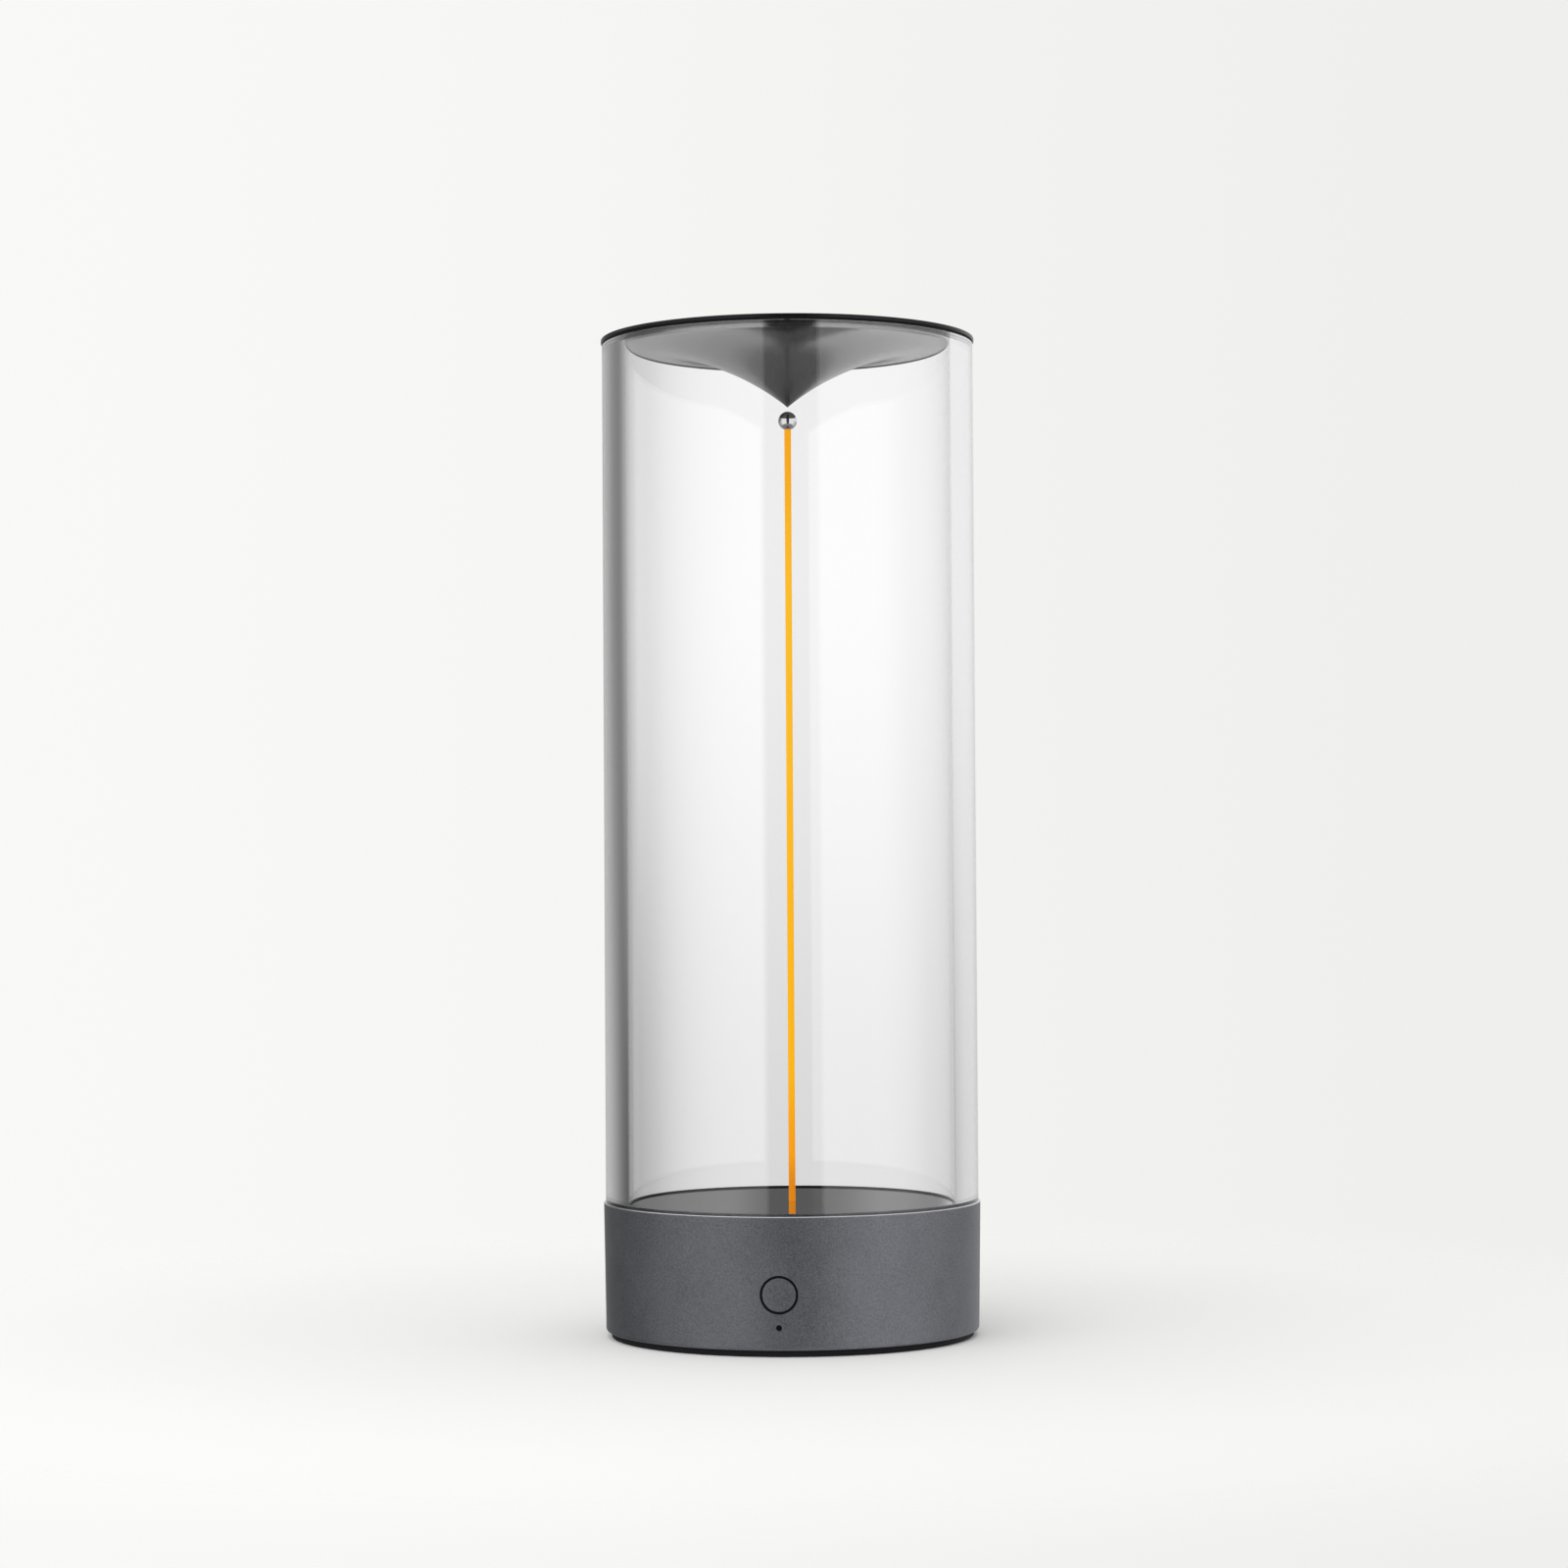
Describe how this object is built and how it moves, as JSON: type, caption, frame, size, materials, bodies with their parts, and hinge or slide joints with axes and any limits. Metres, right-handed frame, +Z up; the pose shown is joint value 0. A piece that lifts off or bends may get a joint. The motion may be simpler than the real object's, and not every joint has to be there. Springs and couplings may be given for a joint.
{
  "type": "bedside lamp",
  "caption": "Cordless bedside lamp: a clear tube on a round metal base, a thin lid with a flared underside, and a slender upright light strip held by a steel ball and magnet.",
  "frame": {"origin": "centre of the lamp's footprint, on the surface it stands on", "axes": "+Z up along the tube's axis, -Y towards the push button, +Y towards the charging socket"},
  "size_m": [0.101, 0.101, 0.2675],
  "materials": {
    "anodised_shell": "bead-blasted and anodised dark grey",
    "anodised_lid": "smooth dark grey anodising",
    "clear_acrylic": "clear and polished",
    "deck_gloss": "mirror-smooth grey",
    "foot_rubber": "matt black",
    "black_plastic": "fine moulded grain",
    "amber_silicone": "soft matt, lit from inside",
    "ball_steel": "polished ball",
    "screw_steel": "zinc plated",
    "magnet_nickel": "nickel plated",
    "contact_metal": "nickel strip",
    "ferrule_brass": "plain",
    "board": "green solder mask",
    "cell_can": "shrink-wrapped cell",
    "connector_ivory": "moulded",
    "wire_red": "insulation",
    "wire_black": "insulation",
    "wire_grey": "insulation",
    "light_pipe": "clear moulding",
    "led_white": "moulded package"
  },
  "bodies": {
    "base": {"base_shell": "anodised_shell", "foot_ring": "foot_rubber", "bottom_cover": "black_plastic", "cover_screw_1": "screw_steel", "cover_screw_2": "screw_steel", "cover_screw_3": "screw_steel", "cover_screw_4": "screw_steel", "tube_gasket": "foot_rubber", "clear_tube": "clear_acrylic", "deck_plate": "deck_gloss", "deck_screw_1": "screw_steel", "deck_screw_2": "screw_steel", "deck_screw_3": "screw_steel", "main_board": "board", "board_screw_1": "screw_steel", "board_screw_2": "screw_steel", "board_screw_3": "screw_steel", "battery_connector": "connector_ivory", "switch_connector": "connector_ivory", "usb_connector": "connector_ivory", "cell_cradle": "black_plastic", "front_cell": "cell_can", "rear_cell": "cell_can", "positive_strip": "contact_metal", "negative_strip": "contact_metal", "red_lead": "wire_red", "black_lead": "wire_black", "button_bezel": "black_plastic", "switch_body": "black_plastic", "switch_board": "board", "switch_bracket": "black_plastic", "bracket_screw_1": "screw_steel", "bracket_screw_2": "screw_steel", "switch_lead": "wire_grey", "indicator_pipe": "light_pipe", "indicator_led": "led_white", "usb_socket": "contact_metal", "usb_tongue": "black_plastic", "usb_board": "board", "usb_screw_1": "screw_steel", "usb_screw_2": "screw_steel", "usb_lead": "wire_grey", "filament_socket": "connector_ivory", "filament_guide": "foot_rubber"},
    "lid": {"lid_plate": "anodised_lid", "lid_gasket": "foot_rubber", "lid_flare": "anodised_lid", "lid_magnet": "magnet_nickel", "magnet_retainer": "black_plastic"},
    "button": {"button_cap": "anodised_shell", "switch_plunger": "connector_ivory"},
    "ferrule": {"filament_ferrule": "ferrule_brass"},
    "filament": {"filament_jacket": "amber_silicone", "filament_circuit": "ferrule_brass", "steel_ball": "ball_steel"}
  },
  "joints": [
    {"name": "button_press", "type": "slide", "parent": "base", "child": "button", "axis": [0, 1, 0], "range_m": [0, 0.0005], "stiffness_N_per_m": 800},
    {"name": "lid_lift", "type": "slide", "parent": "base", "child": "lid", "axis": [0, 0, 1], "range_m": [0, 0.06]},
    {"name": "filament_sway_x", "type": "hinge", "parent": "base", "child": "ferrule", "pos_m": [0, 0, 0.0349], "axis": [1, 0, 0], "range_deg": [-5, 5], "stiffness_Nm_per_rad": 0.01},
    {"name": "filament_sway_y", "type": "hinge", "parent": "ferrule", "child": "filament", "pos_m": [0, 0, 0.0349], "axis": [0, 1, 0], "range_deg": [-5, 5], "stiffness_Nm_per_rad": 0.01}
  ]
}
